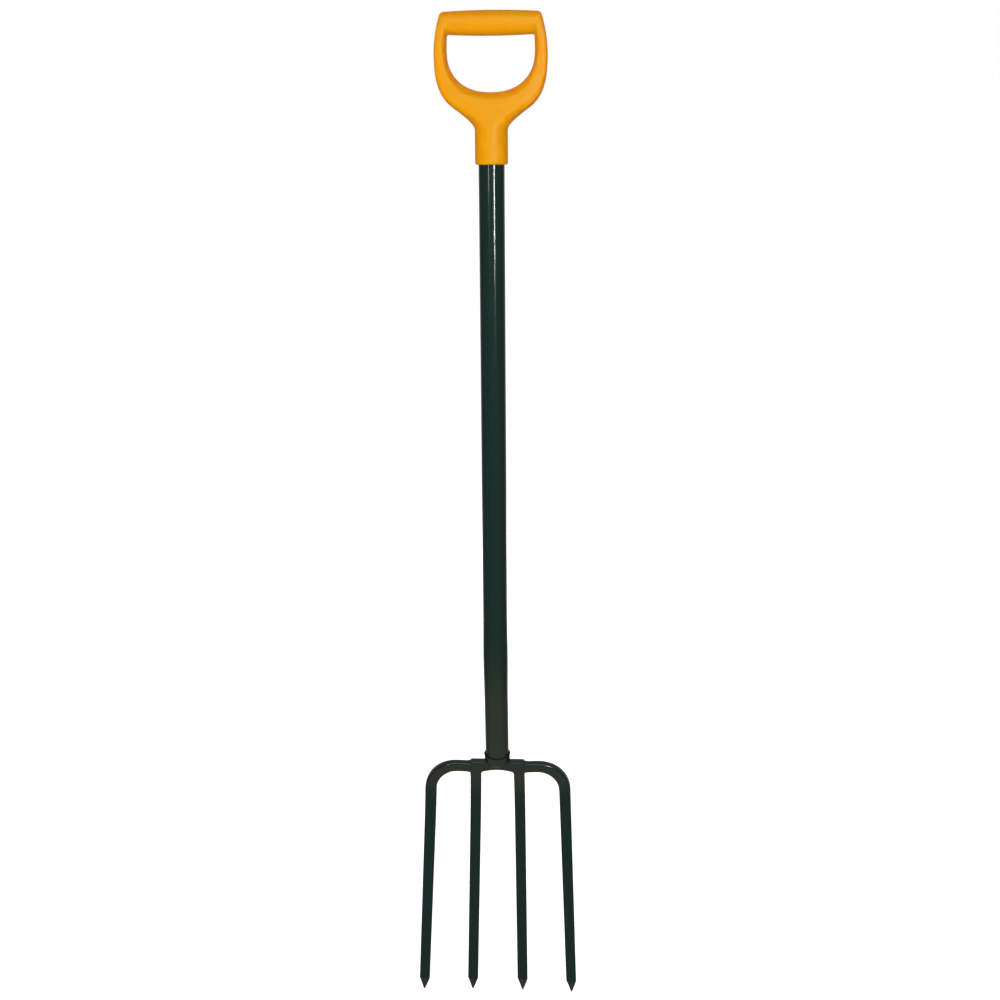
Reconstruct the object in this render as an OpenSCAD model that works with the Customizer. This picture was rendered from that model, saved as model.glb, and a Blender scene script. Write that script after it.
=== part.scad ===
// Digging fork: moulded D-handle, bent steel tube shaft and a four-tined forged head.
// +Z runs up the upper shaft, X runs across the tines, and the front of the fork faces -Y.
// The outer tines' tips stand on Z = 0. Lengths are millimetres and angles are degrees.

/* [Shaft] */
// Outside diameter of the steel tube
tube_d = 28; // [26:0.5:30]
// Wall thickness of the steel tube
tube_wall = 1.5; // [1.2:0.1:2.5]
// Straight tube from the handle's rim down to the bend
upper_run = 504.5; // [350:0.5:600]
// Straight tube from the bend down to the collar's rim
lower_run = 78; // [50:1:120]
// How far the shaft's foot leans back
bend_angle = 10; // [5:0.5:14]
// Centreline radius of the shaft's bend
bend_r = 650; // [400:10:900]

/* [Handle] */
// Overall width of the handle
handle_w = 120.6; // [112:0.2:130]
// Height of the grip's axis above the socket's rim
grip_rise = 144.6; // [138:0.2:155]
// Diameter of the grip at its middle
grip_mid_d = 26.2; // [24:0.2:28]
// Diameter of the grip at its ends
grip_end_d = 22.6; // [20:0.2:23]
// Outside diameter of the socket
socket_d = 35.6; // [34.5:0.1:38]
// Height of the straight part of the socket
socket_h = 38; // [30:1:44]
// Width of the hand opening
opening_w = 95.6; // [90:0.2:98]
// Height of the hand opening's lowest point above the rim
opening_rise = 74.8; // [70:0.2:80]
// Depth of the bore that the tube is pressed into
bore_depth = 44; // [36:1:48]

/* [Collar] */
// Outside diameter of the collar's flared lip
lip_d = 31.7; // [31.2:0.1:34]
// Outside diameter of the collar's wall
collar_d = 31; // [30.6:0.1:31.2]
// Height of the collar, lip to underside
collar_h = 11.3; // [10:0.1:14]
// Thickness of the collar's floor
collar_floor = 2.6; // [2:0.1:3.5]

/* [Bridge] */
// Height of the bridge where the inner tines leave it
bridge_h = 13.7; // [12:0.1:15]
// Front-to-back depth of the bridge
bridge_depth = 10; // [9:0.2:12]
// Rise of the arch under the bridge
arch_rise = 2.2; // [1.2:0.1:4]
// Length of the peg that stands up inside the tube
peg_len = 38; // [25:1:60]

/* [Tines] */
// Spacing of the inner tines' centrelines at the bridge
inner_spread = 53.2; // [50:0.2:56]
// Spacing of the outer tines' centrelines below their corners
outer_spread = 164.8; // [155:0.2:175]
// Outward slant of each inner tine
inner_slant = 0.95; // [0.5:0.05:1.5]
// Outward slant of each outer tine
outer_slant = 2.15; // [1:0.05:3]
// Width of an inner tine at its root
inner_root_w = 13.2; // [12:0.2:14]
// Width and height of an outer tine's bar at its weld seam
outer_root_w = 14; // [13:0.2:15]
// Width of every tine at its point
tine_end_w = 12.4; // [11:0.2:13]
// Front-to-back depth of a tine at its root
tine_root_t = 9.6; // [8:0.2:9.8]
// Front-to-back depth of a tine at its point
tine_end_t = 8; // [7:0.2:9]
// Centreline radius of the outer tines' corners
corner_r = 32; // [26:1:36]
// Radius of the forward curve under the bridge
curve_r = 220; // [150:10:320]
// How far the tines lean forward below that curve
tine_lean = 9; // [4:0.5:12]
// Straight length of an outer tine below that curve
tine_run = 213.5; // [150:0.5:250]
// How much shorter the inner tines are
inner_short = 1.5; // [0:0.5:6]
// Length of the pointed end
point_len = 15; // [10:1:20]

/* [Hidden] */
$fn = 72;
orange = "#ED9F1C";
paint = "#1B2E2A";
zinc = "#B9BDC0";

tube_r = tube_d / 2;
bore_r = tube_r - tube_wall;
// Extra radius of the tube along its bend, which the bending swells a little
bend_swell = 0.1;
// Gap left round pieces that are pushed into a bore
fit_gap = 0.05;

// Chamfer on a tine's edges and on an outer tine's arm
edge_bevel = 1.7;
bar_bevel = 3.2;
// Width and rise of the weld round an outer tine's seam
bead_w = 3;
bead_h = 0.7;
// Fillet between the bridge and an inner tine
root_r = 4.5;

// Pan-head screw at the back of the socket: thread, head, height above the rim, reach of its point
screw_d = 4.8;
screw_head_d = 9;
screw_head_h = 2.4;
screw_rise = 20;
screw_tip = 9;

// The handle's outline is widest, and the opening too, at these heights above the rim.
handle_wide_z = 111;
opening_wide_z = 116;
handle_low_z = 49;
// Exponents of the ovals of the outline, the opening, an arm's section and the neck's flare
outline_bulge = 2.65;
opening_bulge = 2.25;
section_bulge = 2.6;
neck_flare = 1.9;
// How far an arm leans in above its widest point, and where it meets the grip
arm_pull = 6.7;
arm_top = 6.5;
// Front-to-back depth of the web under the opening
web_depth = 33.6;
// Half width and height of the neck's top, inside the web
neck_top_w = 36;
neck_top_z = opening_rise - 14;

// The bridge's middle lies below the collar's rim, along the leaning foot of the shaft.
bridge_drop = collar_h + bridge_h / 2;
flat_run = bridge_h / 2;
curve_turn = bend_angle + tine_lean;
curve_len = curve_r * curve_turn * PI / 180;
head_len = flat_run + curve_len + tine_run;
seam_u = inner_spread / 2 + inner_root_w / 2 + 0.3;
// Drop of an arm's centreline below the bridge's middle, and an arm's half height
arm_s = 1.85;
arm_half = outer_root_w / 2 - 0.4;

// The shaft stands off centre, so that the whole fork is centred front to back.
collar_corner = collar_h - collar_floor;
foot_step = bend_r * (1 - cos(bend_angle)) + lower_run * sin(bend_angle);
back_reach = foot_step + collar_corner * sin(bend_angle) + collar_d / 2 * cos(bend_angle);
shaft_y = (socket_d / 2 - back_reach) / 2;
collar_y = shaft_y + foot_step;
bridge_y = collar_y + bridge_drop * sin(bend_angle);

// Heights add up from the outer tines' tips.
bridge_z = tine_run * cos(tine_lean) + curve_r * (sin(bend_angle) + sin(tine_lean))
    + flat_run * cos(bend_angle);
collar_z = bridge_z + bridge_drop * cos(bend_angle);
bend_low_z = collar_z + lower_run * cos(bend_angle);
bend_top_z = bend_low_z + bend_r * sin(bend_angle);
rim_z = bend_top_z + upper_run;

// Backward slant of the head's sheet at a run of s below the bridge's middle
function slant_at(s) =
    s <= flat_run ? bend_angle
    : max(bend_angle - (s - flat_run) / curve_r * 180 / PI, -tine_lean);

// A point of the head: u across, s down along the curved sheet, q back from the sheet
function on_head(u, s, q) =
    let (
        a = slant_at(s),
        level = min(s, flat_run),
        rest = max(0, s - flat_run - curve_len),
        y = bridge_y + level * sin(bend_angle)
            + curve_r * (cos(a) - cos(bend_angle)) - rest * sin(tine_lean),
        z = bridge_z - level * cos(bend_angle)
            - curve_r * (sin(bend_angle) - sin(a)) - rest * cos(tine_lean)
    )
    [u, y + q * cos(a), z + q * sin(a)];

// Outline of a bar with bevelled edges: half width a, half depth b, bevel c
function bar_section(a, b, c) = [
    [-a, b - c], [-a + c, b], [a - c, b], [a, b - c],
    [a, -b + c], [a - c, -b], [-a + c, -b], [-a, -b + c]
];

// One ring of a bar that crosses the head's sheet at [u, s] with a heading of h from straight down
function bar_ring(u, s, h, a, b, c) = [
    for (p = bar_section(a, b, c)) on_head(u + p[0] * cos(h), s - p[0] * sin(h), p[1])
];

function blend(a, b, t) = a + (b - a) * t;

// Rings of the straight part of a tine, from s0 down to its tip, for a centreline at u0 and slant h
function tine_rings(u0, s0, s1, h, w0, side) =
    let (
        shoulder = s1 - point_len,
        steps = 18,
        span = (shoulder - s0) / steps
    )
    concat(
        [for (i = [0:steps])
            let (t = i / steps, s = s0 + i * span)
            bar_ring(
                side * (u0 + (s - s0) * tan(h)), s, side * h,
                blend(w0, tine_end_w, t) / 2, blend(tine_root_t, tine_end_t, t) / 2, edge_bevel
            )],
        [for (k = [[0.93, 0.13], [1, 0.05]])
            let (s = shoulder + point_len * k[0])
            bar_ring(
                side * (u0 + (s - s0) * tan(h)), s, side * h,
                tine_end_w * k[1] + 0.1, tine_end_t * k[1] + 0.1, tine_end_t * k[1] * 0.4
            )]
    );

// Closed solid through a list of rings that all have the same number of points
module skin(rings) {
    n = len(rings[0]);
    last = len(rings) - 1;
    polyhedron(
        points = [for (r = rings) for (p = r) p],
        faces = concat(
            [[for (j = [0:n - 1]) j]],
            [for (i = [0:last - 1]) for (j = [0:n - 1])
                [i * n + j, (i + 1) * n + j, (i + 1) * n + (j + 1) % n, i * n + (j + 1) % n]],
            [[for (j = [n - 1:-1:0]) last * n + j]]
        )
    );
}

// Puts a shape drawn about the collar rim's centre on the leaning foot of the shaft
module on_foot() {
    translate([0, collar_y, collar_z]) rotate([bend_angle, 0, 0]) children();
}

// Superellipse point at angle a, for half sizes w and h and exponent n
function oval(w, h, n, a) = [
    w * sign(cos(a)) * pow(abs(cos(a)), 2 / n),
    h * sign(sin(a)) * pow(abs(sin(a)), 2 / n)
];

// One ring of a handle arm, between an inner and an outer point of the handle's outline
function arm_ring(inner, outer, depth) = [
    for (k = [0:15])
        let (p = oval(0.5, depth / 2, section_bulge, -k * 22.5), m = 0.5 - p[0])
        [blend(inner[0], outer[0], m), shaft_y + p[1], rim_z + blend(inner[1], outer[1], m)]
];

// Station on one side of the U's lower half, at angle a round the opening
function low_station(a) =
    let (
        i = oval(opening_w / 2, opening_wide_z - opening_rise, opening_bulge, a),
        o = oval(handle_w / 2, handle_wide_z - handle_low_z, outline_bulge, a)
    )
    arm_ring(
        [i[0], opening_wide_z + i[1]], [o[0], handle_wide_z + o[1]],
        blend(web_depth, grip_end_d, abs(a + 90) / 90)
    );

// Station on an arm above the widest point, t of the way up to the grip
function high_station(side, t) =
    arm_ring(
        [side * opening_w / 2, blend(opening_wide_z, grip_rise - grip_end_d / 2 + 1, t)],
        [side * (handle_w / 2 - arm_pull * t * t), blend(handle_wide_z, grip_rise + arm_top, t)],
        grip_end_d
    );

// The U of the handle: from one grip end, round the bottom, to the other grip end
module handle_arms() {
    skin(concat(
        [for (t = [1:-0.2:0.2]) high_station(-1, t)],
        [for (a = [-180:10:0]) low_station(a)],
        [for (t = [0.2:0.2:1]) high_station(1, t)]
    ));
}

// The flare that joins the round socket to the U, starting just inside the socket's top
module handle_neck() {
    inside_r = socket_d / 2 - 0.6;
    skin([
        for (i = [0:10])
            let (
                t = i / 10,
                w = blend(inside_r, neck_top_w, pow(t, neck_flare)),
                d = blend(inside_r, web_depth / 2, t)
            )
            [for (k = [0:31])
                let (p = oval(w, d, 2, k * 11.25))
                [p[0], shaft_y + p[1], rim_z + blend(socket_h - 3, neck_top_z, t)]]
    ]);
}

// Barrel-shaped grip, thickest at its middle
module grip() {
    half = handle_w / 2 - arm_pull - 1.4;
    swell = grip_mid_d - grip_end_d;
    crown_r = half * half / swell + swell / 4;
    end_round = 3;
    translate([0, shaft_y, rim_z + grip_rise]) rotate([0, 90, 0]) rotate_extrude() intersection() {
        translate([grip_mid_d / 2 - crown_r, 0]) circle(r = crown_r, $fn = 720);
        polygon([
            [0, -half], [grip_end_d / 2 - end_round, -half], [grip_mid_d, end_round * 2 - half + 4],
            [grip_mid_d, half - end_round * 2 - 4], [grip_end_d / 2 - end_round, half], [0, half]
        ]);
    }
}

module d_handle() {
    lip = 2;
    color(orange) difference() {
        union() {
            handle_arms();
            handle_neck();
            grip();
            translate([0, shaft_y, rim_z]) {
                cylinder(h = lip, r1 = socket_d / 2 - lip / 2, r2 = socket_d / 2);
                translate([0, 0, lip]) cylinder(h = socket_h - lip, r = socket_d / 2);
            }
        }
        translate([0, shaft_y, rim_z - 1]) cylinder(h = bore_depth + 1, r = tube_r);
        translate([0, shaft_y, rim_z + screw_rise]) rotate([-90, 0, 0]) cylinder(h = socket_d, r = screw_d / 2);
    }
}

module handle_screw() {
    seat = socket_d / 2;
    recess = [1.1, 4.4, 1.4];
    color(zinc) translate([0, shaft_y, rim_z + screw_rise]) rotate([-90, 0, 0]) difference() {
        union() {
            translate([0, 0, screw_tip]) cylinder(h = seat - screw_tip + 0.4, r = screw_d / 2 - fit_gap);
            translate([0, 0, screw_tip - 2.5]) cylinder(h = 2.5, r1 = 0.6, r2 = screw_d / 2 - fit_gap);
            translate([0, 0, seat]) cylinder(h = screw_head_h - 1, r = screw_head_d / 2);
            translate([0, 0, seat + screw_head_h - 1])
                cylinder(h = 1, r1 = screw_head_d / 2, r2 = screw_head_d / 2 - 1.4);
        }
        for (turn = [0, 90])
            rotate(turn) translate([-recess[0] / 2, -recess[1] / 2, seat + screw_head_h - recess[2]])
                cube([recess[0], recess[1], recess[2] + 1]);
    }
}

// Solid of radius r along the tube's whole bent run, with its ends longer by the length over
module tube_run(r, over) {
    translate([0, shaft_y, bend_top_z]) rotate(-90)
        cylinder(h = upper_run + bore_depth + over, r = r);
    translate([0, shaft_y + bend_r, bend_top_z]) rotate([0, 90, 0]) rotate(-90)
        rotate_extrude(angle = bend_angle) translate([bend_r, 0]) circle(r = r + bend_swell);
    on_foot() translate([0, 0, -collar_corner - over]) rotate(-90)
        cylinder(h = lower_run + collar_corner + over, r = r);
}

module shaft_tube() {
    color(paint) difference() {
        tube_run(tube_r, 0);
        tube_run(bore_r, 1);
        translate([0, shaft_y, rim_z + screw_rise]) rotate([-90, 0, 0]) cylinder(h = tube_d, r = screw_d / 2);
    }
}

// Short cup round the tube's foot, with a lip that stands off the tube
module socket_collar() {
    wall_r = collar_d / 2;
    lip_r = lip_d / 2;
    flare_h = 3;
    color(paint) on_foot() rotate_extrude($fn = 96) polygon([
        [bore_r, -collar_corner],
        [tube_r, -collar_corner],
        [tube_r, -flare_h - 1],
        [lip_r - 0.4, 0],
        [lip_r, -0.3],
        [wall_r - 0.1, -flare_h],
        [wall_r - 0.1, -collar_corner + 2],
        [wall_r, -collar_corner],
        [wall_r - 0.6, -collar_corner - 1.2],
        [wall_r - 1.9, -collar_h],
        [bore_r, -collar_h]
    ]);
}

// Weld beads under the collar's overhang, in front of the bridge and behind it
module collar_weld() {
    depth = 5.5;
    top_r = collar_d / 2 - 2.2;
    color(paint) on_foot() difference() {
        translate([0, 0, -collar_h - depth]) cylinder(h = depth, r1 = bridge_depth / 2 + 1, r2 = top_r);
        translate([-collar_d, -bridge_depth / 2, -collar_h - depth - 1])
            cube([2 * collar_d, bridge_depth, depth + 2]);
    }
}

// Point on a circle of radius r about [x, y], at angle a
function on_circle(x, y, r, a) = [x + r * cos(a), y + r * sin(a)];

// Bridge outline in its own sheet, arched between the inner tines, with rounded roots
module bridge_outline() {
    gap = inner_spread / 2 - inner_root_w / 2;
    low = -bridge_h / 2;
    arch_half = gap - root_r;
    arch_r = (arch_half * arch_half + arch_rise * arch_rise) / (2 * arch_rise);
    arch_turn = asin(arch_half / arch_r);
    under = concat(
        [for (i = [0:8]) on_circle(0, low + arch_rise - arch_r, arch_r, 90 - arch_turn * i / 8)],
        [for (a = [75:-15:0]) on_circle(arch_half, low - root_r, root_r, a)],
        [[gap + 1, low - root_r], [gap + 1, low], [seam_u, low], [seam_u, -low]]
    );
    polygon(concat(under, [for (i = [len(under) - 1:-1:1]) [-under[i][0], under[i][1]]]));
}

// Forged in one: the bridge, its peg and the two inner tines
module centre_fork() {
    color(paint) union() {
        on_foot() translate([0, 0, -bridge_drop]) {
            rotate([90, 0, 0]) linear_extrude(bridge_depth, center = true) bridge_outline();
            cylinder(h = bridge_h, r = bridge_depth / 2 - 0.5);
            translate([0, 0, bridge_h / 2])
                cylinder(h = collar_floor + peg_len, r = bore_r - fit_gap);
        }
        for (side = [-1, 1])
            skin(tine_rings(
                inner_spread / 2, 0, head_len - inner_short, inner_slant, inner_root_w, side
            ));
    }
}

// Bent bar, welded on at the seam: arm, corner and tine
module outer_tine(side) {
    arm_end = outer_spread / 2 - corner_r;
    turn = 90 - outer_slant;
    color(paint) skin(concat(
        [for (t = [0, 0.3, 0.7, 1])
            bar_ring(
                side * blend(seam_u, arm_end, t), arm_s, side * 90,
                arm_half, bridge_depth / 2, bar_bevel
            )],
        [for (k = [1:11])
            let (h = turn * k / 12, t = k / 12)
            bar_ring(
                side * (arm_end + corner_r * sin(h)), arm_s + corner_r * (1 - cos(h)), side * (90 - h),
                blend(arm_half, outer_root_w / 2, min(1, 4 * t)),
                blend(bridge_depth, tine_root_t, t) / 2, blend(bar_bevel, edge_bevel, t)
            )],
        tine_rings(
            arm_end + corner_r * sin(turn), arm_s + corner_r * (1 - cos(turn)),
            head_len, outer_slant, outer_root_w, side
        )
    ));
}

module outer_tine_left() {
    outer_tine(-1);
}

module outer_tine_right() {
    outer_tine(1);
}

// Bar outline turned so that its height is drawn upwards
module upright_bar(a, b, c) {
    polygon([for (p = bar_section(a, b, c)) [p[1], p[0]]]);
}

// Raised weld band round an outer tine's bar, just outside the seam
module seam_weld(side) {
    color(paint) on_foot() translate([side * seam_u, 0, -bridge_drop - arm_s])
        rotate([90, 0, side * 90]) linear_extrude(bead_w) difference() {
            upright_bar(arm_half + bead_h, bridge_depth / 2 + bead_h, bar_bevel);
            upright_bar(arm_half, bridge_depth / 2, bar_bevel);
        }
}

module seam_weld_left() {
    seam_weld(-1);
}

module seam_weld_right() {
    seam_weld(1);
}

d_handle();
handle_screw();
shaft_tube();
socket_collar();
collar_weld();
centre_fork();
outer_tine_left();
outer_tine_right();
seam_weld_left();
seam_weld_right();
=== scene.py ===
"""Looks of the digging fork: moulded D-handle, painted bent tube shaft and forged four-tined head.

Shapes are worked out in millimetres in the frame's own axes (X across the tines, +Z up, front facing -Y)
and each piece is turned into metres as it is finished.
"""
import math

import bmesh
import bpy
from mathutils import Matrix, Vector


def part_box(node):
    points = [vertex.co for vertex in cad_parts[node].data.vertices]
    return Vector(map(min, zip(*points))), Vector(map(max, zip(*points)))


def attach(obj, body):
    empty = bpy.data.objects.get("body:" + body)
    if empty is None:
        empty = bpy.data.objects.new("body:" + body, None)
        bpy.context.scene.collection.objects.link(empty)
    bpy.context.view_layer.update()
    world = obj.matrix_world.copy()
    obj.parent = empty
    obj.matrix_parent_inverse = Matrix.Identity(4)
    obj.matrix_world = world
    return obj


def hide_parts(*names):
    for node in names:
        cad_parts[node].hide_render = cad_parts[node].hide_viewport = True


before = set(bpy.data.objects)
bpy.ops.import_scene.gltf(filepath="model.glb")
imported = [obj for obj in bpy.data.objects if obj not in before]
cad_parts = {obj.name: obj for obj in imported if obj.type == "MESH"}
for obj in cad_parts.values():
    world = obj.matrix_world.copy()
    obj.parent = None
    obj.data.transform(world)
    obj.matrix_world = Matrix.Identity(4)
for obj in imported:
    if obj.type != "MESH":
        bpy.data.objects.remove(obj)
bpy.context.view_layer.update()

MM = 0.001
scene = bpy.context.scene

# ---------------------------------------------------------------- sizes, in millimetres and degrees
TUBE_R = 14.0
TUBE_WALL = 1.5
END_CHAMFER = 0.4
UPPER_RUN = 504.5
BEND = math.radians(10)
BEND_R = 650.0
BEND_FLATTENING = 0.45

SOCKET_R = 17.65
SOCKET_H = 38.0
BORE_DEPTH = 44.0
HANDLE_HALF_W = 60.3
HANDLE_WIDE_Z = 111.0
HANDLE_LOW_Z = 49.0
OPENING_HALF_W = 47.8
OPENING_WIDE_Z = 116.0
OPENING_LOW_Z = 74.8
GRIP_Z = 144.6
GRIP_MID_R = 13.05
GRIP_END_R = 11.35
WEB_HALF_DEPTH = 16.8
# how far smoothing draws back the sharp inner edge of an arm
EDGE_DRAW = 1.2
# outward bulge of the opening and of the outline, as exponents of their ovals
OPENING_BULGE = 2.25
OUTLINE_BULGE = 2.65
# how far an arm leans in above its widest point, over what height, and the grip's half length
ARM_LEAN = 6.0
ARM_RISE = 40.5
GRIP_HALF_LEN = 53.0
# width of the sloping inner side of an arm and of the web
ARM_RIDGE = 5.2
WEB_RIDGE = 14.7
# depth of the fine groove round the grip's middle, where the two mould halves meet
MOULD_GROOVE = 0.15
SCREW_Z = 20.0

COLLAR_H = 11.3
COLLAR_CORNER = 8.7
COLLAR_R = 15.5
LIP_R = 15.85

BRIDGE_H = 13.7
BRIDGE_DEPTH = 10.0
ARCH_RISE = 2.2
PEG_LEN = 38.0
INNER_SPREAD = 53.2
OUTER_SPREAD = 164.8
INNER_SLANT = math.radians(0.95)
OUTER_SLANT = math.radians(2.15)
INNER_ROOT_W = 13.2
OUTER_ROOT_W = 14.0
TINE_END_W = 12.4
TINE_ROOT_T = 9.6
TINE_END_T = 8.0
EDGE_ROUND = 1.7
BAR_ROUND = 3.2
CORNER_R = 32.0
CURVE_R = 220.0
LEAN = math.radians(9)
TINE_RUN = 213.5
INNER_SHORT = 1.5
POINT_LEN = 15.0
TIP_R = 1.2
SEAM_U = 33.5
ARM_S = 1.85
BEAD_W = 3.0

CAMERA_AZIMUTH = 2.8
CAMERA_SIDE = 6.6
CAMERA_ROLL = -0.39
WARM = (1, 0.13, 0.05)

# ---------------------------------------------------------------- places, from the frame
handle_lo, handle_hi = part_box("d_handle")
shaft_y = (handle_lo.y + handle_hi.y) / 2 / MM
rim_z = handle_lo.z / MM
weld_lo, weld_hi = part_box("seam_weld_right")
arm_y = (weld_lo.y + weld_hi.y) / 2 / MM
arm_z = (weld_lo.z + weld_hi.z) / 2 / MM
bridge_y = arm_y - ARM_S * math.sin(BEND)
bridge_z = arm_z + ARM_S * math.cos(BEND)
bridge_drop = COLLAR_H + BRIDGE_H / 2
collar_y = bridge_y - bridge_drop * math.sin(BEND)
collar_z = bridge_z + bridge_drop * math.cos(BEND)
bend_top_z = rim_z - UPPER_RUN
flat_run = BRIDGE_H / 2
curve_len = CURVE_R * (BEND + LEAN)
head_len = flat_run + curve_len + TINE_RUN


def blend(a, b, t):
    return a + (b - a) * t


def ease(t):
    """0 to 1, level at both ends"""
    t = min(1.0, max(0.0, t))
    return t * t * (3 - 2 * t)


def on_foot(x, v, w):
    """A point about the collar rim's centre: x across, v back and w up the leaning foot of the shaft"""
    return Vector((
        x,
        collar_y + v * math.cos(BEND) - w * math.sin(BEND),
        collar_z + v * math.sin(BEND) + w * math.cos(BEND),
    ))


def on_head(u, s, q):
    """A point of the head: u across, s down along its curved sheet, q back from the sheet"""
    bent = min(max(0.0, s - flat_run), curve_len)
    a = BEND - bent / CURVE_R
    level = min(s, flat_run)
    rest = max(0.0, s - flat_run - curve_len)
    y = (bridge_y + level * math.sin(BEND) + CURVE_R * (math.cos(a) - math.cos(BEND))
         - rest * math.sin(LEAN))
    z = (bridge_z - level * math.cos(BEND) - CURVE_R * (math.sin(BEND) - math.sin(a))
         - rest * math.cos(LEAN))
    return Vector((u, y + q * math.cos(a), z + q * math.sin(a)))


# ---------------------------------------------------------------- shader maths
class Value:
    """An output socket whose arithmetic adds Math nodes to its shader"""

    def __init__(self, shader, socket):
        self.shader = shader
        self.socket = socket

    def math(self, operation, *values):
        return self.shader.node("ShaderNodeMath", {"operation": operation}, dict(enumerate(values)))

    def __add__(self, other):
        return self.math("ADD", self, other)

    __radd__ = __add__

    def __sub__(self, other):
        return self.math("SUBTRACT", self, other)

    def __rsub__(self, other):
        return self.math("SUBTRACT", other, self)

    def __mul__(self, other):
        return self.math("MULTIPLY", self, other)

    __rmul__ = __mul__


class Shader:
    """A material or world whose nodes are made by one method"""

    def __init__(self, owner):
        owner.use_nodes = True
        self.owner = owner
        self.tree = owner.node_tree
        self.tree.nodes.clear()

    def node(self, kind, settings=None, sockets=None, out=0):
        made = self.tree.nodes.new(kind)
        for key, value in (settings or {}).items():
            if key == "stops":
                self.set_stops(made.color_ramp, value)
            else:
                setattr(made, key, value)
        for key, value in (sockets or {}).items():
            if isinstance(value, Value):
                self.tree.links.new(value.socket, made.inputs[key])
            else:
                made.inputs[key].default_value = value
        return Value(self, made.outputs[out]) if len(made.outputs) else made

    def set_stops(self, ramp, stops):
        while len(ramp.elements) < len(stops):
            ramp.elements.new(1.0)
        for element, (place, level) in zip(ramp.elements, stops):
            element.position = place
            element.color = (level, level, level, 1)

    def place(self):
        return self.node("ShaderNodeTexCoord", out="Object")

    def noise(self, place, scale, detail=2.0, roughness=0.5):
        """Smooth noise from 0 to 1; scale is in features a metre"""
        return self.node("ShaderNodeTexNoise", {}, {
            "Vector": place, "Scale": scale, "Detail": detail, "Roughness": roughness,
        }, out="Fac")

    def ramp(self, value, *stops):
        return self.node("ShaderNodeValToRGB", {"stops": stops}, {"Fac": value})

    def mix(self, share, a, b):
        return self.node("ShaderNodeMix", {"data_type": "RGBA"}, {0: share, 6: a, 7: b}, out=2)

    def bump(self, height, depth_mm, normal=None):
        sockets = {"Height": height, "Strength": 1.0, "Distance": depth_mm * MM}
        if normal is not None:
            sockets["Normal"] = normal
        return self.node("ShaderNodeBump", {}, sockets)

    def surface(self, **sockets):
        named = {key.replace("_", " "): value for key, value in sockets.items()}
        skin = self.node("ShaderNodeBsdfPrincipled", {}, named)
        self.node("ShaderNodeOutputMaterial", {}, {"Surface": skin})
        return self.owner


def linear(red, green, blue):
    """A colour given in 0 to 255 screen steps, as the shader's linear colour"""
    def channel(step):
        c = step / 255
        return c / 12.92 if c <= 0.04045 else ((c + 0.055) / 1.055) ** 2.4
    return (channel(red), channel(green), channel(blue), 1)


def moulded_plastic(name, colour, deep):
    """Satin polypropylene: fine mould grain, faint flow marks and small rubbed patches"""
    shader = Shader(bpy.data.materials.new(name))
    place = shader.place()
    flow = shader.noise(place, 30, 3.0)
    grain = shader.noise(place, 2600, 2.0)
    rubbed = shader.ramp(shader.noise(place, 140, 4.0, 0.6), (0.5, 0), (0.72, 1))
    base = shader.mix(shader.ramp(flow, (0.3, 0), (0.75, 1)) * 0.35, colour, deep)
    rough = 0.40 + 0.08 * grain - 0.07 * rubbed
    bumps = shader.bump(grain, 0.035, shader.bump(flow, 0.25))
    return shader.surface(
        Base_Color=base, Roughness=rough, Normal=bumps, IOR=1.48, Specular_IOR_Level=0.18,
        Subsurface_Weight=0.6, Subsurface_Radius=(1.0, 0.22, 0.05), Subsurface_Scale=0.009,
    )


def gloss_paint(name, colour, warm, peel, dullness):
    """Thick stoved enamel over steel: orange-peel skin, faint mottling and a few duller patches"""
    shader = Shader(bpy.data.materials.new(name))
    place = shader.place()
    mottle = shader.noise(place, 55, 4.0)
    skin = shader.noise(place, 620, 2.0)
    dull = shader.ramp(shader.noise(place, 210, 3.0, 0.6), (0.45, 0), (0.7, 1))
    base = shader.mix(shader.ramp(mottle, (0.35, 0), (0.7, 1)) * 0.5, colour, warm)
    rough = dullness + 0.04 * dull + 0.03 * mottle
    bumps = shader.bump(skin, peel, shader.bump(mottle, 0.12))
    return shader.surface(Base_Color=base, Roughness=rough, Normal=bumps, IOR=1.5)


def bright_zinc(name):
    """Zinc plating with a faint blotchy passivation"""
    shader = Shader(bpy.data.materials.new(name))
    place = shader.place()
    blotch = shader.noise(place, 700, 3.0)
    base = shader.mix(blotch, linear(176, 180, 184), linear(200, 198, 184))
    return shader.surface(
        Base_Color=base, Metallic=1.0, Roughness=0.24 + 0.16 * blotch,
        Normal=shader.bump(blotch, 0.02),
    )


orange_plastic = moulded_plastic("orange_plastic", linear(218, 162, 5), linear(213, 155, 5))
shaft_paint = gloss_paint("shaft_paint", linear(22, 45, 41), linear(24, 45, 40), peel=0.010, dullness=0.11)
head_paint = gloss_paint("head_paint", linear(21, 43, 40), linear(24, 43, 38), peel=0.005, dullness=0.16)
weld_paint = gloss_paint("weld_paint", linear(24, 45, 40), linear(32, 46, 39), peel=0.02, dullness=0.19)
zinc = bright_zinc("bright_zinc")


# ---------------------------------------------------------------- mesh work
def ring_of(bm, places):
    """A closed ring of edges with its corners at the places"""
    ring = bmesh.ops.create_circle(bm, segments=len(places), radius=1)["verts"]
    for corner, place in zip(ring, places):
        corner.co = place
    return ring


def ring_edges(bm, ring):
    return [bm.edges.get(pair) for pair in zip(ring, ring[1:] + ring[:1])]


def pull(bm, ring, places):
    """Pulls a new ring out of a ring of corners and puts it at the places"""
    grown = set(bmesh.ops.extrude_edge_only(bm, edges=ring_edges(bm, ring))["geom"])
    moved = []
    for corner, place in zip(ring, places):
        twin = next(v for v in (e.other_vert(corner) for e in corner.link_edges) if v in grown)
        twin.co = place
        moved.append(twin)
    return moved


def pull_all(bm, rings):
    """A skin through a list of rings; returns the rings' corners"""
    made = [ring_of(bm, rings[0])]
    for places in rings[1:]:
        made.append(pull(bm, made[-1], places))
    return made


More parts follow.
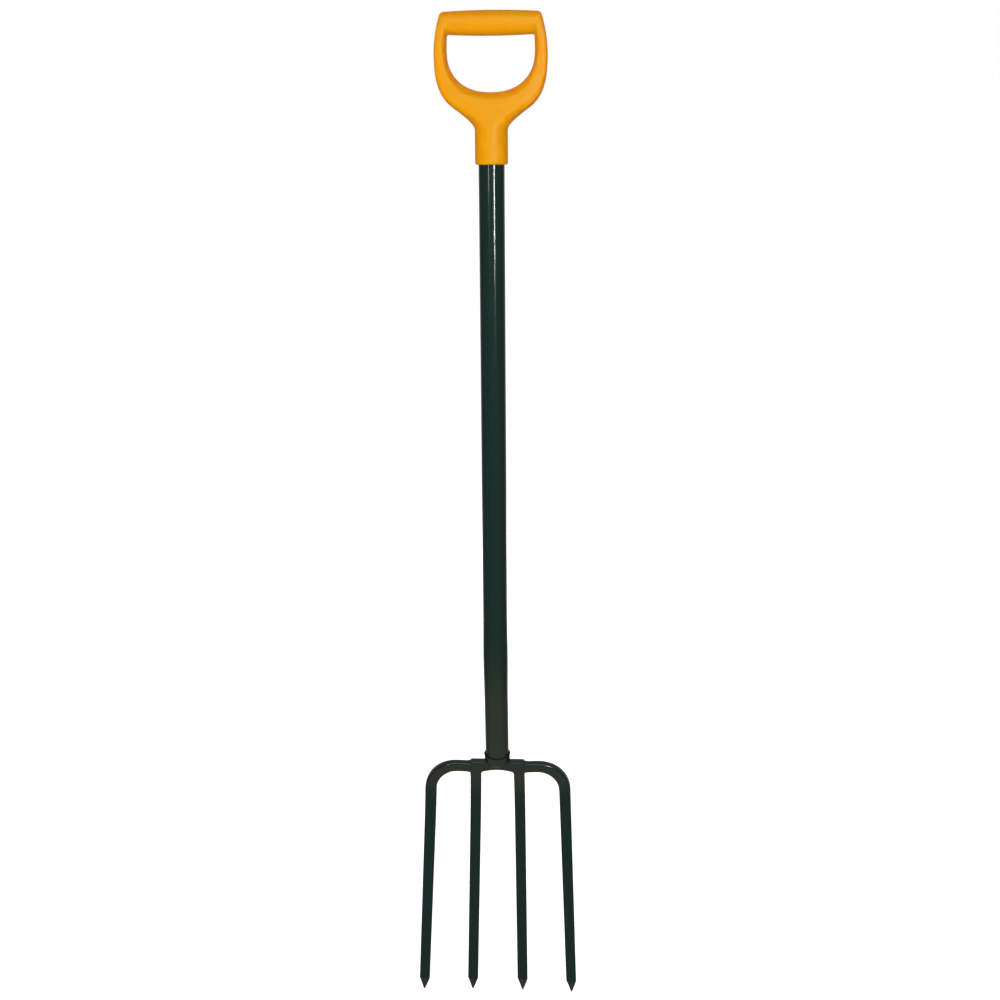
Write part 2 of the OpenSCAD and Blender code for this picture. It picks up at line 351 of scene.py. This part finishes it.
def lid(bm, ring):
    bmesh.ops.contextual_create(bm, geom=ring_edges(bm, ring))


def chain(bm, places, closed=True):
    """Edges through a few corners"""
    corners = [bm.verts.new(p) for p in places]
    pairs = zip(corners, corners[1:] + corners[:1] if closed else corners[1:])
    return corners, [bm.edges.new(pair) for pair in pairs]


def turn_profile(bm, profile, steps, angle=2 * math.pi, start=0.0, closed=True):
    """Spins a profile of (radius, height) corners about Z"""
    places = [(r * math.cos(start), r * math.sin(start), h) for r, h in profile]
    corners, edges = chain(bm, places, closed)
    full = angle > 6.28
    grown = bmesh.ops.spin(
        bm, geom=corners + edges, cent=(0, 0, 0), axis=(0, 0, 1), angle=angle, steps=steps,
        use_merge=full, use_duplicate=False,
    )
    return corners, grown["geom_last"]


def mark_sharp(bm, angle):
    for edge in bm.edges:
        edge.smooth = len(edge.link_faces) != 2 or edge.calc_face_angle() < angle


def piece(name, bm, material, node, smooth_levels=0, sharp=math.radians(50)):
    """Turns a shape in millimetres into a finished piece that stands for a CAD node"""
    bmesh.ops.remove_doubles(bm, verts=bm.verts, dist=0.004)
    bmesh.ops.recalc_face_normals(bm, faces=bm.faces)
    if not smooth_levels:
        mark_sharp(bm, sharp)
    bmesh.ops.scale(bm, vec=(MM, MM, MM), verts=bm.verts)
    mesh = bpy.data.meshes.new(name)
    bm.to_mesh(mesh)
    bm.free()
    mesh.polygons.foreach_set("use_smooth", [True] * len(mesh.polygons))
    mesh.materials.append(material)
    made = bpy.data.objects.new(name, mesh)
    scene.collection.objects.link(made)
    if smooth_levels:
        smooth = made.modifiers.new("smooth_skin", "SUBSURF")
        smooth.levels = smooth_levels
        smooth.render_levels = smooth_levels
    else:
        made.modifiers.new("even_shading", "WEIGHTED_NORMAL").keep_sharp = True
    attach(made, "root")
    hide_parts(node)
    return made


# ---------------------------------------------------------------- handle
SECTION = 24
LOW_STEP = 10
NECK_TURNS = 3
NECK_CORNER = 5
NECK_LOW_Z = 41.0
NECK_HIGH_Z = 66.0
NECK_REACH = 36.0
NECK_PASSES = 4


def oval(w, h, n, angle):
    c, s = math.cos(angle), math.sin(angle)
    return Vector((
        math.copysign(w * abs(c) ** (2 / n), c),
        math.copysign(h * abs(s) ** (2 / n), s),
    ))


def arm_section(inner, outer, half_depth, ridge, slope, square):
    """Ring round the D: the inner side rises to a ridge, then the front runs flat to a rounded outline.

    ridge is the width of the sloping inner side; slope and square bend the inner and outer sides."""
    width = (outer - inner).length
    top = ridge / width
    ring = []
    for k in range(SECTION):
        c = math.cos(2 * math.pi * k / SECTION)
        s = math.sin(2 * math.pi * k / SECTION)
        n = square if c >= 0 else slope
        side = 1 - top if c >= 0 else top
        p = inner.lerp(outer, top + math.copysign(side * abs(c) ** (2 / n), c))
        y = math.copysign(half_depth * abs(s) ** (2 / n), s)
        ring.append(Vector((p.x, shaft_y + y, rim_z + p.y)))
    return ring


def arm_outline(z):
    """Outer edge of an arm at a height above the rim"""
    return Vector((HANDLE_HALF_W - ARM_LEAN * ((z - HANDLE_WIDE_Z) / ARM_RISE) ** 2, z))


def grip_radius(x):
    return blend(GRIP_MID_R, GRIP_END_R, (x / GRIP_HALF_LEN) ** 2)


def right_half():
    """Stations from the web's middle to the grip's: (inner, outer, half depth, ridge, slope, square)"""
    stations = []
    for degrees in range(-90, 1, LOW_STEP):
        angle = math.radians(degrees)
        low = -math.sin(angle)
        inner = oval(OPENING_HALF_W - EDGE_DRAW, OPENING_WIDE_Z - OPENING_LOW_Z, OPENING_BULGE, angle)
        outer = oval(HANDLE_HALF_W, HANDLE_WIDE_Z - HANDLE_LOW_Z, OUTLINE_BULGE, angle)
        inner.y += OPENING_WIDE_Z
        outer.y += HANDLE_WIDE_Z
        stations.append((
            inner, outer, blend(GRIP_END_R, WEB_HALF_DEPTH, low ** 1.5),
            blend(ARM_RIDGE, WEB_RIDGE, low ** 2.2), blend(1.45, 2.0, low), 4.5,
        ))
    for t in (0.25, 0.5, 0.75, 1.0):
        inner = Vector((blend(OPENING_HALF_W, 47.4, t) - EDGE_DRAW, blend(OPENING_WIDE_Z, 130.4, t)))
        stations.append((
            inner, arm_outline(blend(HANDLE_WIDE_Z, 140.5, t)), GRIP_END_R,
            blend(ARM_RIDGE, 4.9, t), blend(1.45, 1.5, t), blend(4.5, 4.0, t),
        ))
    shoulder = Vector((49.5, 151.8))
    around = [arm_outline(z) for z in (143.6, 147, 150.2)]
    around += [shoulder + 4.4 * Vector((math.cos(a), math.sin(a)))
               for a in map(math.radians, (22, 45, 68, 92))]
    for i, outer in enumerate(around):
        t = (i + 1) / len(around)
        turn = math.radians(90 * t)
        inner = Vector((45.4 - EDGE_DRAW + 2 * math.cos(turn), 130.5 + 2.2 * math.sin(turn)))
        width = (outer - inner).length
        stations.append((
            inner, outer, GRIP_END_R,
            blend(4.9, width / 2, ease(t)), blend(1.5, 2.0, ease(t)), blend(4.0, 2.0, ease(t)),
        ))
    for x in (44.5, 41, 35, 28, 20, 12, 5, 1.6, 0.7, 0):
        r = grip_radius(x) - (MOULD_GROOVE if x < 0.5 else 0)
        stations.append((Vector((x, GRIP_Z - r)), Vector((x, GRIP_Z + r)), r, r, 2.0, 2.0))
    return stations


def mirrored(station):
    inner, outer, *rest = station
    return (Vector((-inner.x, inner.y)), Vector((-outer.x, outer.y)), *rest)


def curve_through(start, out, end, inward, t):
    """Point on a curve that leaves start towards out and arrives at end from inward"""
    a, b = start + out, end + inward
    return start * (1 - t) ** 3 + a * 3 * t * (1 - t) ** 2 + b * 3 * t * t * (1 - t) + end * t ** 3


def moulded_handle():
    bm = bmesh.new()
    half = right_half()
    stations = half + [mirrored(s) for s in half[-2:0:-1]]
    places = [arm_section(*s) for s in stations]
    rings = pull_all(bm, places + [places[0]])[:-1]
    bmesh.ops.weld_verts(bm, targetmap={
        late: first for late, first in zip(last_ring(bm, rings), rings[0])
    })

    # the web's underside opens between the neck's corners, and the neck grows from that edge
    reach = range(-NECK_TURNS, NECK_TURNS)
    under = [k % SECTION for k in range(-NECK_CORNER, NECK_CORNER)]
    gone = [
        bm.faces.get([rings[i][k], rings[i][(k + 1) % SECTION],
                      rings[i + 1][(k + 1) % SECTION], rings[i + 1][k]])
        for i in reach for k in under
    ]
    edge, leads = [], []
    for i in range(-NECK_TURNS, NECK_TURNS):
        edge.append(rings[i][-NECK_CORNER])
        leads.append(rings[i][-NECK_CORNER - 1])
    for k in range(-NECK_CORNER, NECK_CORNER):
        edge.append(rings[NECK_TURNS][k])
        leads.append(rings[NECK_TURNS + 1][k])
    for i in range(NECK_TURNS, -NECK_TURNS, -1):
        edge.append(rings[i][NECK_CORNER])
        leads.append(rings[i][NECK_CORNER + 1])
    for k in range(NECK_CORNER, -NECK_CORNER, -1):
        edge.append(rings[-NECK_TURNS][k])
        leads.append(rings[-NECK_TURNS - 1][k])
    bmesh.ops.delete(bm, geom=gone, context="FACES")

    count = len(edge)
    shrink = 1 - (1 - math.cos(2 * math.pi / count)) / 3
    turns = [2 * math.pi * (j - NECK_TURNS) / count - math.pi / 2 for j in range(count)]

    def socket_ring(r, z):
        return [Vector((r / shrink * math.cos(a), shaft_y + r / shrink * math.sin(a), rim_z + z))
                for a in turns]

    def evened(places, t):
        """A neck ring eased towards an oval of its own width and depth"""
        wide = max(abs(p.x) for p in places)
        deep = max(abs(p.y - shaft_y) for p in places)
        goals = [oval(wide, deep, blend(3.2, 2.0, t), a) for a in turns]
        share = ease(2 * t)
        return [p.lerp(Vector((goal.x, shaft_y + goal.y, p.z)), share) for p, goal in zip(places, goals)]

    starts = [v.co.copy() for v in edge]
    outs = [(v.co - lead.co) * Vector((1, 0, 1)) for v, lead in zip(edge, leads)]
    outs = [out.normalized() for out in outs]
    ends = socket_ring(SOCKET_R, SOCKET_H - 2)
    ring = edge
    for t in (0.17, 0.34, 0.5, 0.66, 0.82, 0.93, 1.0):
        ring = pull(bm, ring, evened([
            curve_through(a, d * (a - b).length * 0.4, b, Vector((0, 0, (a - b).length * 0.22)), t)
            for a, d, b in zip(starts, outs, ends)
        ], t))
    bore = TUBE_R + 0.12
    for r, z in (
        (SOCKET_R, SOCKET_H - 6), (SOCKET_R, 18), (SOCKET_R, 4), (SOCKET_R, 2),
        (SOCKET_R - 0.5, 0.7), (SOCKET_R - 1.8, 0.05), (SOCKET_R - 3.0, 0), (bore + 0.3, 0),
        (bore, 0.5), (bore, 4), (bore, BORE_DEPTH - 3), (bore, BORE_DEPTH + 0.4),
    ):
        ring = pull(bm, ring, socket_ring(r, z))
    lid(bm, ring)

    def on_neck(place):
        off_axis = math.hypot(place.x, place.y - shaft_y)
        level = NECK_LOW_Z < place.z - rim_z < NECK_HIGH_Z
        return level and bore + 1 < off_axis and abs(place.x) < NECK_REACH

    soft = [v for v in bm.verts if on_neck(v.co)]
    for _ in range(NECK_PASSES):
        bmesh.ops.smooth_vert(bm, verts=soft, factor=0.5, use_axis_x=True, use_axis_y=True, use_axis_z=True)
    return piece("moulded_handle", bm, orange_plastic, "d_handle", smooth_levels=2)


def last_ring(bm, rings):
    """The ring that was pulled after the last kept one"""
    kept = {v for ring in rings for v in ring}
    return [next(v for v in (e.other_vert(c) for e in c.link_edges) if v not in kept) for c in rings[-1]]


def cross_recess(bm, narrow, reach, floor):
    """Sinks a cross with arms of the given half width and reach into a head that faces +Z"""
    for axis in (Vector((1, 0, 0)), Vector((0, 1, 0))):
        for at in (-reach, -narrow, narrow, reach):
            head = [f for f in bm.faces if f.calc_center_median().z > floor]
            geom = head + list({e for f in head for e in f.edges})
            geom += list({v for f in head for v in f.verts})
            bmesh.ops.bisect_plane(bm, geom=geom, plane_co=axis * at, plane_no=axis)

    def inside(face):
        middle = face.calc_center_median()
        near, far = sorted((abs(middle.x), abs(middle.y)))
        return middle.z > floor and near < narrow and far < reach

    sunk = [f for f in bm.faces if inside(f)]
    grown = bmesh.ops.extrude_face_region(bm, geom=sunk)["geom"]
    bmesh.ops.delete(bm, geom=sunk, context="FACES")
    for corner in grown:
        if isinstance(corner, bmesh.types.BMVert):
            corner.co.z = floor


def pin_screw():
    """Pan-head screw with a cross recess, through the back of the socket"""
    bm = bmesh.new()
    head = 4.5
    profile = [(0, -9), (0.5, -8.6), (2.3, -6.2), (2.3, -0.2), (head - 0.1, 0), (head, 0.35)]
    profile += [(head * math.cos(a), 0.5 + 1.9 * math.sin(a)) for a in map(math.radians, (15, 35, 55, 75))]
    profile += [(0, 2.4)]
    turn_profile(bm, profile, 40, closed=False)
    cross_recess(bm, 0.55, 2.2, 1.0)
    seat = Vector((0, shaft_y + SOCKET_R, rim_z + SCREW_Z))
    bmesh.ops.rotate(bm, verts=bm.verts, cent=(0, 0, 0), matrix=Matrix.Rotation(-math.pi / 2, 3, "X"))
    bmesh.ops.translate(bm, verts=bm.verts, vec=seat)
    return piece("pin_screw", bm, zinc, "handle_screw")


# ---------------------------------------------------------------- shaft and collar
def bent_tube():
    """Steel tube: straight, a long soft bend that flattens it a little, and the leaning foot"""
    sides = 64
    bend_end = Vector((0, shaft_y + BEND_R * (1 - math.cos(BEND)), bend_top_z - BEND_R * math.sin(BEND)))
    foot_end = on_foot(0, 0, -COLLAR_CORNER)
    stops = [(Vector((0, shaft_y, rim_z + BORE_DEPTH - drop)), 0.0, 0.0)
             for drop in (0, 0.4, 30, 55, 180, 320, 460, UPPER_RUN + BORE_DEPTH - 30)]
    bend_steps = 20
    for i in range(bend_steps + 1):
        a = BEND * i / bend_steps
        middle = Vector((0, shaft_y + BEND_R * (1 - math.cos(a)), bend_top_z - BEND_R * math.sin(a)))
        stops.append((middle, a, math.sin(math.pi * i / bend_steps) ** 2))
    for t in (0.3, 0.7, 0.994, 1.0):
        stops.append((bend_end.lerp(foot_end, t), BEND, 0.0))

    def wall(radius, stop):
        middle, lean, flat = stop
        wide, deep = radius + BEND_FLATTENING * flat, radius - BEND_FLATTENING * flat
        return [
            middle + Vector((wide * math.cos(a), deep * math.sin(a) * math.cos(lean),
                             deep * math.sin(a) * math.sin(lean)))
            for a in (2 * math.pi * k / sides for k in range(sides))
        ]

    bm = bmesh.new()
    outside = [wall(TUBE_R, stop) for stop in stops]
    outside[0] = wall(TUBE_R - END_CHAMFER, stops[0])
    outside[-1] = wall(TUBE_R - END_CHAMFER, stops[-1])
    inside = [wall(TUBE_R - TUBE_WALL, stop) for stop in reversed(stops)]
    pull_all(bm, outside + inside + [outside[0]])
    return piece("bent_tube", bm, shaft_paint, "shaft_tube")


def foot_collar():
    """Pressed cup at the shaft's foot, with a thin lip that flares off the tube"""
    bm = bmesh.new()
    inner = TUBE_R - TUBE_WALL
    profile = [
        (inner, -COLLAR_CORNER), (TUBE_R, -COLLAR_CORNER), (TUBE_R + 0.02, -4.6), (TUBE_R + 0.35, -2.9),
        (LIP_R - 0.75, -0.6), (LIP_R - 0.4, 0), (LIP_R - 0.12, 0), (LIP_R, -0.35), (COLLAR_R + 0.02, -1.9),
        (COLLAR_R - 0.1, -3.4), (COLLAR_R - 0.1, 2 - COLLAR_CORNER), (COLLAR_R - 0.03, -COLLAR_CORNER),
        (COLLAR_R - 0.4, -COLLAR_CORNER - 1), (COLLAR_R - 1.1, 0.7 - COLLAR_H),
        (COLLAR_R - 2.1, -COLLAR_H), (inner, -COLLAR_H),
    ]
    turn_profile(bm, profile, 96)
    for corner in bm.verts:
        corner.co = on_foot(*corner.co)
    return piece("foot_collar", bm, head_paint, "socket_collar")


def collar_bead():
    """Weld run under the collar's overhang, one in front of the bridge and one behind it"""
    bm = bmesh.new()
    top = -COLLAR_H + 0.3
    reach = math.radians(134)
    profile = [(3.5, top), (COLLAR_R - 1.8, top), (COLLAR_R - 2.0, top - 1.2), (COLLAR_R - 3.4, top - 2.6),
               (COLLAR_R - 5.6, top - 3.7), (COLLAR_R - 8.2, top - 4.6), (BRIDGE_DEPTH / 2 + 0.6, top - 5.6),
               (3.5, top - 5.8)]
    for middle in (-math.pi / 2, math.pi / 2):
        first, last = turn_profile(bm, profile, 60, angle=reach, start=middle - reach / 2)
        bmesh.ops.contextual_create(bm, geom=[e for e in set(sum((list(v.link_edges) for v in first), []))
                                              if all(v in first for v in e.verts)])
        bmesh.ops.contextual_create(bm, geom=[e for e in last if isinstance(e, bmesh.types.BMEdge)])
    for corner in bm.verts:
        x, v, w = corner.co
        r = math.hypot(x, v)
        ripple = 1 + 0.018 * math.sin(30 * math.atan2(v, x)) * ease((r - 5) / 5)
        corner.co = on_foot(x * ripple, v * ripple, w)
    return piece("collar_bead", bm, weld_paint, "collar_weld")


# ---------------------------------------------------------------- head
def bar_outline(a, b, c):
    """Rounded bar section in order round the bar: half width a, half depth b, corner c"""
    turns = [math.radians(d) for d in (0, 22, 45, 68, 90)]
    outline = []
    for quarter, (sx, sy) in enumerate(((1, 1), (-1, 1), (-1, -1), (1, -1))):
        for turn in turns:
            angle = turn + quarter * math.pi / 2
            outline.append((sx * (a - c) + c * math.cos(angle), sy * (b - c) + c * math.sin(angle)))
    return outline


def skew_at(s, end):
    """How far the point's cut is set over: nothing on the shank or the tip, most at the shoulder"""
    shoulder = end - POINT_LEN
    return 0.8 * ease((s - shoulder + 9) / 9) * ease((end - s) / 9)


def bar_ring(u, s, heading, a, b, c, end=1e9):
    """A ring of a bar that crosses the head's sheet with a heading from straight down"""
    ring = []
    for across, back in bar_outline(a, b, c):
        slip = skew_at(s, end) * across / a
        ring.append(on_head(
            u + across * math.cos(heading), s - across * math.sin(heading) + slip, back,
        ))
    return ring


def tine_rings(u0, s0, end, slant, root_w, side, root_t=TINE_ROOT_T):
    """Shank and point of a tine whose centreline leaves u0 at s0"""
    shoulder = end - POINT_LEN
    steps = 22
    rings = []
    for i in range(steps + 1):
        t = i / steps
        s = blend(s0, shoulder, t)
        u = side * (u0 + (s - s0) * math.tan(slant))
        half_w = blend(root_w, TINE_END_W, t) / 2
        half_t = blend(root_t, TINE_END_T, t) / 2
        rings.append(bar_ring(u, s, side * slant, half_w, half_t, EDGE_ROUND, end))
    for t in (0.06, 0.3, 0.55, 0.78, 0.92):
        s = shoulder + POINT_LEN * t
        u = side * (u0 + (s - s0) * math.tan(slant))
        half_w = blend(TINE_END_W / 2, TIP_R * 0.55, t)
        half_t = blend(TINE_END_T / 2, TIP_R * 0.55, t ** 1.15)
        rings.append(bar_ring(u, s, side * slant, half_w, half_t, EDGE_ROUND * (1 - t) + 0.45 * t, end))
    for turn in (25, 50, 72, 86):
        a = math.radians(turn)
        s = end - TIP_R * (1 - math.sin(a))
        u = side * (u0 + (s - s0) * math.tan(slant))
        r = TIP_R * math.cos(a) * 0.98
        rings.append(bar_ring(u, s, side * slant, r, r, r * 0.6, end))
    return rings


def outer_tine(side, name, node):
    """Bent bar: an arm with a slight hump, a corner and a long tapering tine"""
    arm_end = OUTER_SPREAD / 2 - CORNER_R
    turn = math.pi / 2 - OUTER_SLANT
    arm_half = OUTER_ROOT_W / 2 - 0.4

    def hump(along):
        return 0.55 * math.sin(math.pi * min(1.0, max(0.0, along)) * 0.5) ** 2

    rings = []
    for t in (0, 0.05, 0.2, 0.4, 0.6, 0.8, 1):
        rings.append(bar_ring(
            side * blend(SEAM_U, arm_end, t), ARM_S - hump(t), side * math.pi / 2,
            arm_half, BRIDGE_DEPTH / 2, BAR_ROUND,
        ))
    corner_steps = 20
    for i in range(1, corner_steps):
        t = i / corner_steps
        a = turn * t
        fade = 1 - ease(t * 1.3)
        rings.append(bar_ring(
            side * (arm_end + CORNER_R * math.sin(a)),
            ARM_S + CORNER_R * (1 - math.cos(a)) - hump(1) * fade,
            side * (math.pi / 2 - a), blend(arm_half, OUTER_ROOT_W / 2, min(1, 3 * t)),
            blend(BRIDGE_DEPTH, TINE_ROOT_T, t) / 2, blend(BAR_ROUND, EDGE_ROUND, ease(t)),
        ))
    rings += tine_rings(
        arm_end + CORNER_R * math.sin(turn), ARM_S + CORNER_R * (1 - math.cos(turn)),
        head_len, OUTER_SLANT, OUTER_ROOT_W, side,
    )
    bm = bmesh.new()
    made = pull_all(bm, rings)
    lid(bm, made[0])
    lid(bm, made[-1])
    return piece(name, bm, head_paint, node, sharp=math.radians(60))


def arc(centre, r, start, end, steps):
    return [(centre[0] + r * math.cos(a), centre[1] + r * math.sin(a))
            for a in (math.radians(blend(start, end, i / steps)) for i in range(steps + 1))]


def bridge_outline(stub):
    """Right half of the bridge in (u, up) from the arch's middle to the top's middle"""
    gap = INNER_SPREAD / 2 - INNER_ROOT_W / 2
    low = -BRIDGE_H / 2
    root_r = 4.5
    top_r = 2.6
    arch_half = gap - root_r
    arch_r = (arch_half ** 2 + ARCH_RISE ** 2) / (2 * ARCH_RISE)
    arch_turn = math.degrees(math.asin(arch_half / arch_r))
    half = arc((0, low + ARCH_RISE - arch_r), arch_r, 90, 90 - arch_turn, 7)
    half += arc((arch_half, low - root_r), root_r, 75, 0, 5)
    half += [(gap, -stub), (gap + INNER_ROOT_W, -stub), (SEAM_U, low - 1.4)]
    half += arc((SEAM_U - top_r, -low - top_r), top_r, 0, 90, 4)
    return half


def centre_fork():
    """Forged in one: arched bridge, the peg that stands in the tube and the two inner tines"""
    bm = bmesh.new()
    stub = 14.0
    half = bridge_outline(stub)
    outline = half + [(-u, up) for u, up in reversed(half[1:])]
    corners, edges = chain(bm, [(u, -BRIDGE_DEPTH / 2, up) for u, up in outline])
    front = bmesh.ops.contextual_create(bm, geom=edges)["faces"]
    grown = bmesh.ops.extrude_face_region(bm, geom=front)["geom"]
    back = [v for v in grown if isinstance(v, bmesh.types.BMVert)]
    bmesh.ops.translate(bm, verts=back, vec=(0, BRIDGE_DEPTH, 0))
    bmesh.ops.recalc_face_normals(bm, faces=bm.faces)

    def flat_edge(edge):
        a, b = edge.verts
        level = abs(a.co.y - b.co.y) < 0.01
        return level and not (abs(a.co.z + stub) < 0.01 and abs(b.co.z + stub) < 0.01)

    bmesh.ops.bevel(
        bm, geom=[e for e in bm.edges if flat_edge(e)], offset=EDGE_ROUND, offset_type="OFFSET",
        segments=3, profile=0.5, affect="EDGES", clamp_overlap=True, material=-1,
    )
    feet = [f for f in bm.faces if all(abs(v.co.z + stub) < 0.01 for v in f.verts)]
    for foot in feet:
        side = 1 if foot.calc_center_median().x > 0 else -1
        ring = list(foot.verts)
        middle = INNER_SPREAD / 2 * side
        start = [(v.co.x - middle, v.co.y) for v in ring]
        bmesh.ops.delete(bm, geom=[foot], context="FACES_ONLY")
        end = head_len - INNER_SHORT
        half_w, half_t = INNER_ROOT_W / 2, BRIDGE_DEPTH / 2
        for s, wide, thick in inner_stops(stub, end):
            shift = side * (s - stub) * math.tan(INNER_SLANT)
            ring = pull(bm, ring, [
                Vector((
                    middle + shift + across / half_w * wide, back / half_t * thick,
                    -s - skew_at(s, end) * across / half_w,
                ))
                for across, back in start
            ])
        lid(bm, ring)
    for corner in bm.verts:
        u, q, up = corner.co
        corner.co = on_head(u, -up, q)
    peg_r = TUBE_R - TUBE_WALL - 0.05
    foot_top = -COLLAR_H
    peg_top = foot_top + PEG_LEN
    peg = [
        (0, foot_top - 1), (peg_r, foot_top - 1), (peg_r, peg_top), (peg_r - 1.5, peg_top + 2.6),
        (0, peg_top + 2.6),
    ]
    before = set(bm.verts)
    turn_profile(bm, peg, 48, closed=False)
    for corner in set(bm.verts) - before:
        corner.co = on_foot(*corner.co)
    return piece(
        "forged_centre_fork", bm, head_paint, "centre_fork", sharp=math.radians(60),
    )


def inner_stops(stub, end):
    """(s, half width, half depth) down an inner tine from its stub to its rounded tip"""
    shoulder = end - POINT_LEN
    stops = []
    steps = 22
    for i in range(1, steps + 1):
        t = i / steps
        stops.append((
            blend(stub, shoulder, t), blend(INNER_ROOT_W, TINE_END_W, t) / 2,
            blend(BRIDGE_DEPTH, TINE_END_T, t) / 2,
        ))
    for t in (0.06, 0.3, 0.55, 0.78, 0.92):
        stops.append((
            shoulder + POINT_LEN * t, blend(TINE_END_W / 2, TIP_R * 0.55, t),
            blend(TINE_END_T / 2, TIP_R * 0.55, t ** 1.15),
        ))
    for turn in (25, 50, 72, 86):
        a = math.radians(turn)
        r = TIP_R * math.cos(a) * 0.98
        stops.append((end - TIP_R * (1 - math.sin(a)), r, r))
    return stops


def seam_bead(side, name, node):
    """Weld run all round an outer tine's bar at its seam, with the ripples of the pass"""
    arm_half = OUTER_ROOT_W / 2 - 0.4
    steps = 8
    bm = bmesh.new()
    outside, inside = [], []
    for i in range(steps + 1):
        t = i / steps
        rise = 0.62 * math.sin(math.pi * t) ** 0.8 if 0 < i < steps else 0
        u = SEAM_U - 0.3 + BEAD_W * t
        ring = []
        loop = bar_outline(arm_half, BRIDGE_DEPTH / 2, BAR_ROUND)
        for k, (across, back) in enumerate(loop):
            grow = 1 + (rise * (1 + 0.22 * math.sin(2.4 * k + 5 * t))) / math.hypot(across, back)
            ring.append(on_head(side * u, ARM_S - across * grow, back * grow))
        outside.append(ring)
        inside.append([on_head(side * u, ARM_S - across * 0.93, back * 0.93) for across, back in loop])
    pull_all(bm, outside + inside[::-1] + [outside[0]])
    return piece(name, bm, weld_paint, node)


moulded_handle()
pin_screw()
bent_tube()
foot_collar()
collar_bead()
centre_fork()
outer_tine(-1, "outer_tine_bar_left", "outer_tine_left")
outer_tine(1, "outer_tine_bar_right", "outer_tine_right")
seam_bead(-1, "seam_bead_left", "seam_weld_left")
seam_bead(1, "seam_bead_right", "seam_weld_right")


# ---------------------------------------------------------------- studio
def studio_floor():
    bm = bmesh.new()
    bmesh.ops.create_grid(bm, x_segments=2, y_segments=2, size=60)
    mesh = bpy.data.meshes.new("studio_floor")
    bm.to_mesh(mesh)
    bm.free()
    made = bpy.data.objects.new("studio_floor", mesh)
    scene.collection.objects.link(made)
    shader = Shader(bpy.data.materials.new("pale_floor"))
    mesh.materials.append(shader.surface(
        Base_Color=(0.45, 0.45, 0.45, 1), Roughness=0.8,
        Emission_Color=(1, 1, 1, 1), Emission_Strength=1.0,
    ))
    made.visible_diffuse = False
    made.visible_glossy = False


def softbox(name, target, azimuth, elevation, distance, width, height, watts,
            colour=(1, 1, 1), mirrored=None):
    """Rectangular light that faces a target: azimuth 0 is in front of the fork, 90 to its right

    mirrored True makes it a highlight only, and False a light that the fork doesn't mirror."""
    light = bpy.data.lights.new(name, "AREA")
    light.shape = "RECTANGLE"
    light.size = width
    light.size_y = height
    light.energy = watts
    light.color = colour
    made = bpy.data.objects.new(name, light)
    a, e = math.radians(azimuth), math.radians(elevation)
    away = Vector((math.sin(a) * math.cos(e), -math.cos(a) * math.cos(e), math.sin(e)))
    made.location = target + away * distance
    made.rotation_euler = away.to_track_quat("Z", "Y").to_euler()
    made.visible_camera = False
    made.visible_diffuse = mirrored is not True
    made.visible_glossy = mirrored is not False
    scene.collection.objects.link(made)


def studio_world():
    """White to the eye; what the fork mirrors is dim round the camera, white behind and warm below"""
    world = bpy.data.worlds.new("studio_world")
    scene.world = world
    shader = Shader(world)
    direction = shader.node("ShaderNodeTexCoord", out="Generated")
    back = shader.node("ShaderNodeSeparateXYZ", {}, {0: direction}, out="Y")
    up = shader.node("ShaderNodeSeparateXYZ", {}, {0: direction}, out="Z")
    below = shader.ramp(0 - up, (0.45, 0), (0.64, 1))
    behind = shader.ramp(back, (0.35, 0), (0.8, 1))
    around = shader.mix(below, (0.045, 0.05, 0.05, 1), (0.50, 0.30, 0.20, 1))
    lit = shader.mix(behind, around, (0.4, 0.4, 0.4, 1))
    seen = shader.node("ShaderNodeLightPath", out="Is Camera Ray")
    colour = shader.mix(seen, lit, (1, 1, 1, 1))
    glow = shader.node("ShaderNodeBackground", {}, {"Color": colour})
    shader.node("ShaderNodeOutputWorld", {}, {"Surface": glow})


def camera():
    """Level with the handle's rim, a little to the right, looking down at the middle of the fork"""
    lens = bpy.data.cameras.new("camera")
    lens.sensor_width = 36
    lens.lens = 48.4
    made = bpy.data.objects.new("camera", lens)
    tilt = Matrix.Rotation(math.radians(90 - 14), 4, "X")
    roll = Matrix.Rotation(math.radians(CAMERA_ROLL), 4, "Z")
    orbit = Matrix.Rotation(math.radians(CAMERA_AZIMUTH), 4, "Z")
    axis = Matrix.Translation((0, shaft_y * MM, 0))
    back = Matrix.Translation((CAMERA_SIDE * MM, -1490 * MM, rim_z * MM))
    made.matrix_world = axis @ orbit @ back @ tilt @ roll
    scene.collection.objects.link(made)
    scene.camera = made


studio_floor()
studio_world()
camera()
scene.view_settings.view_transform = "Standard"
middle = Vector((0, shaft_y * MM, 0.75))
softbox("key_light", middle, 0, 44, 2.4, 1.8, 1.1, 18, mirrored=True)
softbox("front_light", middle, 0, 8, 2.4, 1.8, 1.4, 66, mirrored=False)
softbox("right_strip", middle, 25, 12, 2.2, 0.10, 0.9, 27, mirrored=True)
softbox("left_strip", middle, -25, 14, 2.2, 0.10, 0.7, 4.5, mirrored=True)
softbox("left_fill", middle, -80, 15, 2.4, 1.4, 1.6, 20, WARM, mirrored=False)
softbox("right_fill", middle, 80, 15, 2.4, 1.4, 1.6, 20, WARM, mirrored=False)
softbox("low_fill", middle, 0, -50, 2.4, 1.4, 1.2, 9, WARM, mirrored=False)
softbox("rear_light", middle, 180, 8, 2.4, 1.8, 1.4, 45, mirrored=False)
softbox("back_light", middle, 180, 60, 2.0, 1.8, 1.2, 20, WARM, mirrored=False)
